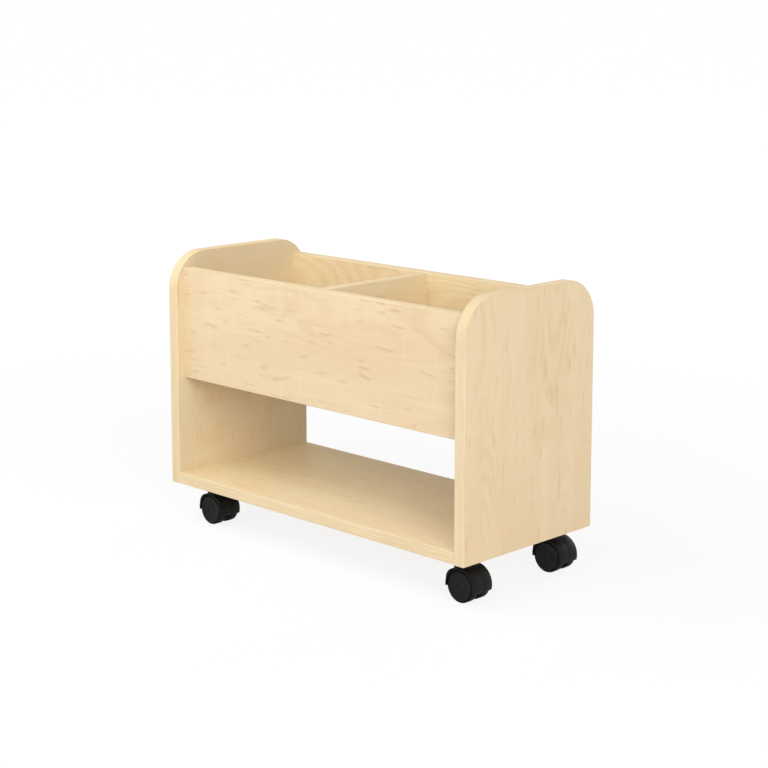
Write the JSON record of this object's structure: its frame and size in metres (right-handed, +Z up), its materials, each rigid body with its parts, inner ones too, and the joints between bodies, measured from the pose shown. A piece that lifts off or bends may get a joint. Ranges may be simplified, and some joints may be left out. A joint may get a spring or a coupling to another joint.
{
  "type": "picture book browser bin",
  "caption": "Low mobile bin of maple laminate with an upper trough divided for picture books, an open shelf below, rounded ends and hooded twin-wheel casters.",
  "frame": {"origin": "on the floor, under the middle of the case", "axes": "+X along the length to the right, +Y towards the back, +Z up"},
  "size_m": [0.66, 0.292, 0.4565],
  "materials": {
    "maple_laminate": "matte maple laminate on particleboard",
    "edge_band": "matching maple-look edge band, eased",
    "beech_dowel": "plain beech, glued",
    "black_nylon": "moulded, fine texture",
    "wheel_tread": "smooth moulded tread",
    "zinc_steel": "bright zinc plate",
    "spring_steel": "black oiled spring steel",
    "bright_steel": "drawn bar"
  },
  "bodies": {
    "case": {"left_side_panel": "maple_laminate", "right_side_panel": "maple_laminate", "front_panel": "maple_laminate", "back_panel": "maple_laminate", "divider": "maple_laminate", "bin_floor": "maple_laminate", "bottom_shelf": "maple_laminate", "left_side_band": "edge_band", "right_side_band": "edge_band", "front_panel_top_band": "edge_band", "front_panel_bottom_band": "edge_band", "back_panel_top_band": "edge_band", "back_panel_bottom_band": "edge_band", "divider_top_band": "edge_band", "shelf_front_band": "edge_band", "shelf_back_band": "edge_band", "left_dowels": "beech_dowel", "right_dowels": "beech_dowel", "divider_dowels": "beech_dowel", "caster_screws": "zinc_steel", "kingpin_rings": "spring_steel", "front_left_caster_plate": "zinc_steel", "front_left_kingpin": "zinc_steel", "front_right_caster_plate": "zinc_steel", "front_right_kingpin": "zinc_steel", "rear_left_caster_plate": "zinc_steel", "rear_left_kingpin": "zinc_steel", "rear_right_caster_plate": "zinc_steel", "rear_right_kingpin": "zinc_steel"},
    "front_left_swivel": {"front_left_caster_body": "black_nylon", "front_left_axle": "bright_steel"},
    "front_left_front_wheel": {"front_left_front_wheel_core": "black_nylon", "front_left_front_wheel_tread": "wheel_tread"},
    "front_left_rear_wheel": {"front_left_rear_wheel_core": "black_nylon", "front_left_rear_wheel_tread": "wheel_tread"},
    "front_right_swivel": {"front_right_caster_body": "black_nylon", "front_right_axle": "bright_steel"},
    "front_right_front_wheel": {"front_right_front_wheel_core": "black_nylon", "front_right_front_wheel_tread": "wheel_tread"},
    "front_right_rear_wheel": {"front_right_rear_wheel_core": "black_nylon", "front_right_rear_wheel_tread": "wheel_tread"},
    "rear_left_swivel": {"rear_left_caster_body": "black_nylon", "rear_left_axle": "bright_steel"},
    "rear_left_front_wheel": {"rear_left_front_wheel_core": "black_nylon", "rear_left_front_wheel_tread": "wheel_tread"},
    "rear_left_rear_wheel": {"rear_left_rear_wheel_core": "black_nylon", "rear_left_rear_wheel_tread": "wheel_tread"},
    "rear_right_swivel": {"rear_right_caster_body": "black_nylon", "rear_right_axle": "bright_steel"},
    "rear_right_front_wheel": {"rear_right_front_wheel_core": "black_nylon", "rear_right_front_wheel_tread": "wheel_tread"},
    "rear_right_rear_wheel": {"rear_right_rear_wheel_core": "black_nylon", "rear_right_rear_wheel_tread": "wheel_tread"}
  },
  "joints": [
    {"name": "front_left_caster_swivel", "type": "hinge", "parent": "case", "child": "front_left_swivel", "pos_m": [-0.281, -0.099, 0.025], "axis": [0, 0, 1], "continuous": true},
    {"name": "front_left_front_wheel_spin", "type": "hinge", "parent": "front_left_swivel", "child": "front_left_front_wheel", "pos_m": [-0.2637, -0.099, 0.025], "axis": [0, 1, 0], "continuous": true},
    {"name": "front_left_rear_wheel_spin", "type": "hinge", "parent": "front_left_swivel", "child": "front_left_rear_wheel", "pos_m": [-0.2637, -0.099, 0.025], "axis": [0, 1, 0], "continuous": true},
    {"name": "front_right_caster_swivel", "type": "hinge", "parent": "case", "child": "front_right_swivel", "pos_m": [0.281, -0.099, 0.025], "axis": [0, 0, 1], "continuous": true},
    {"name": "front_right_front_wheel_spin", "type": "hinge", "parent": "front_right_swivel", "child": "front_right_front_wheel", "pos_m": [0.2983, -0.099, 0.025], "axis": [0, 1, 0], "continuous": true},
    {"name": "front_right_rear_wheel_spin", "type": "hinge", "parent": "front_right_swivel", "child": "front_right_rear_wheel", "pos_m": [0.2983, -0.099, 0.025], "axis": [0, 1, 0], "continuous": true},
    {"name": "rear_left_caster_swivel", "type": "hinge", "parent": "case", "child": "rear_left_swivel", "pos_m": [-0.281, 0.099, 0.025], "axis": [0, 0, 1], "continuous": true},
    {"name": "rear_left_front_wheel_spin", "type": "hinge", "parent": "rear_left_swivel", "child": "rear_left_front_wheel", "pos_m": [-0.2637, 0.099, 0.025], "axis": [0, 1, 0], "continuous": true},
    {"name": "rear_left_rear_wheel_spin", "type": "hinge", "parent": "rear_left_swivel", "child": "rear_left_rear_wheel", "pos_m": [-0.2637, 0.099, 0.025], "axis": [0, 1, 0], "continuous": true},
    {"name": "rear_right_caster_swivel", "type": "hinge", "parent": "case", "child": "rear_right_swivel", "pos_m": [0.281, 0.099, 0.025], "axis": [0, 0, 1], "continuous": true},
    {"name": "rear_right_front_wheel_spin", "type": "hinge", "parent": "rear_right_swivel", "child": "rear_right_front_wheel", "pos_m": [0.2983, 0.099, 0.025], "axis": [0, 1, 0], "continuous": true},
    {"name": "rear_right_rear_wheel_spin", "type": "hinge", "parent": "rear_right_swivel", "child": "rear_right_rear_wheel", "pos_m": [0.2983, 0.099, 0.025], "axis": [0, 1, 0], "continuous": true}
  ]
}
